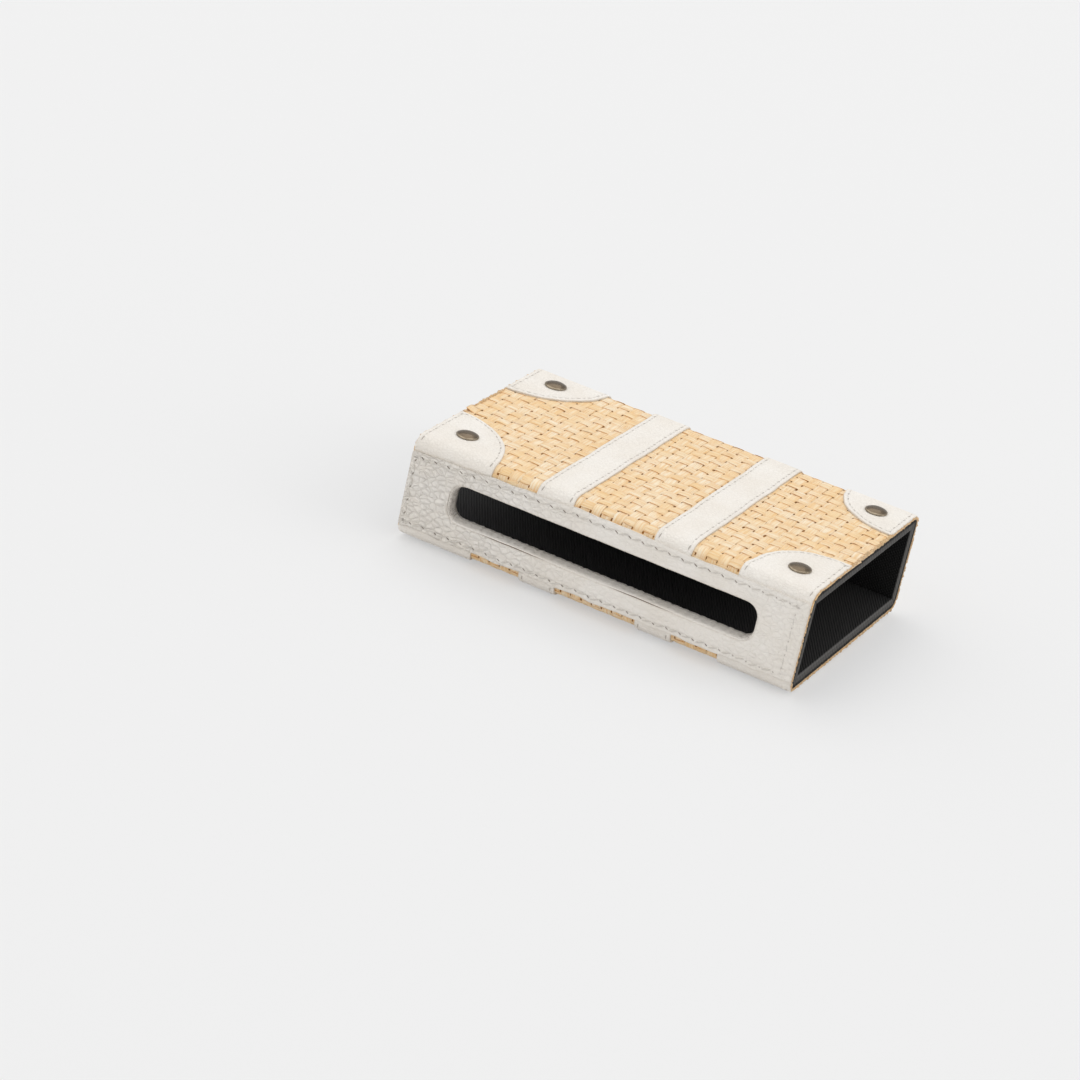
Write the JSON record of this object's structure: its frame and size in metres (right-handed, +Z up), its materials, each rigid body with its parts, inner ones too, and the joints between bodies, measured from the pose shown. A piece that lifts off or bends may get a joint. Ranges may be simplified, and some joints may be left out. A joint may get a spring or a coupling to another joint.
{
  "type": "matchbox holder",
  "caption": "Open-ended sleeve for a household matchbox, dressed like a travel trunk in woven raffia with leather straps, riveted corner patches and a slotted front band.",
  "frame": {"origin": "middle of the footprint, on the plane of the underside rivets' crowns", "axes": "+X along the sleeve towards its right end, as seen from the slotted front; +Y to the back, away from the slot; +Z up"},
  "size_m": [0.115, 0.0742, 0.0307],
  "materials": {
    "grey_board": "dense uncoated board, hidden between lining and raffia",
    "lining_cloth": "black ribbed cloth, matte",
    "woven_raffia": "natural raffia strips in an uneven plain weave, satin along the fibre",
    "white_leather": "pebbled off-white leather, soft satin, tone-on-tone stitching",
    "aged_brass": "antique bronze-brown plating, satin"
  },
  "bodies": {
    "root": {"back_board": "grey_board", "back_lining": "lining_cloth", "bottom_back_left_patch": "white_leather", "bottom_back_right_patch": "white_leather", "bottom_board": "grey_board", "bottom_front_left_patch": "white_leather", "bottom_front_right_patch": "white_leather", "bottom_lining": "lining_cloth", "front_band": "white_leather", "front_board": "grey_board", "front_lining": "lining_cloth", "left_strap": "white_leather", "raffia_wrap": "woven_raffia", "right_strap": "white_leather", "slot_facing": "white_leather", "top_back_left_patch": "white_leather", "top_back_right_patch": "white_leather", "top_board": "grey_board", "top_front_left_patch": "white_leather", "top_front_right_patch": "white_leather", "top_lining": "lining_cloth", "top_rivets": "aged_brass", "underside_rivets": "aged_brass"}
  },
  "joints": []
}
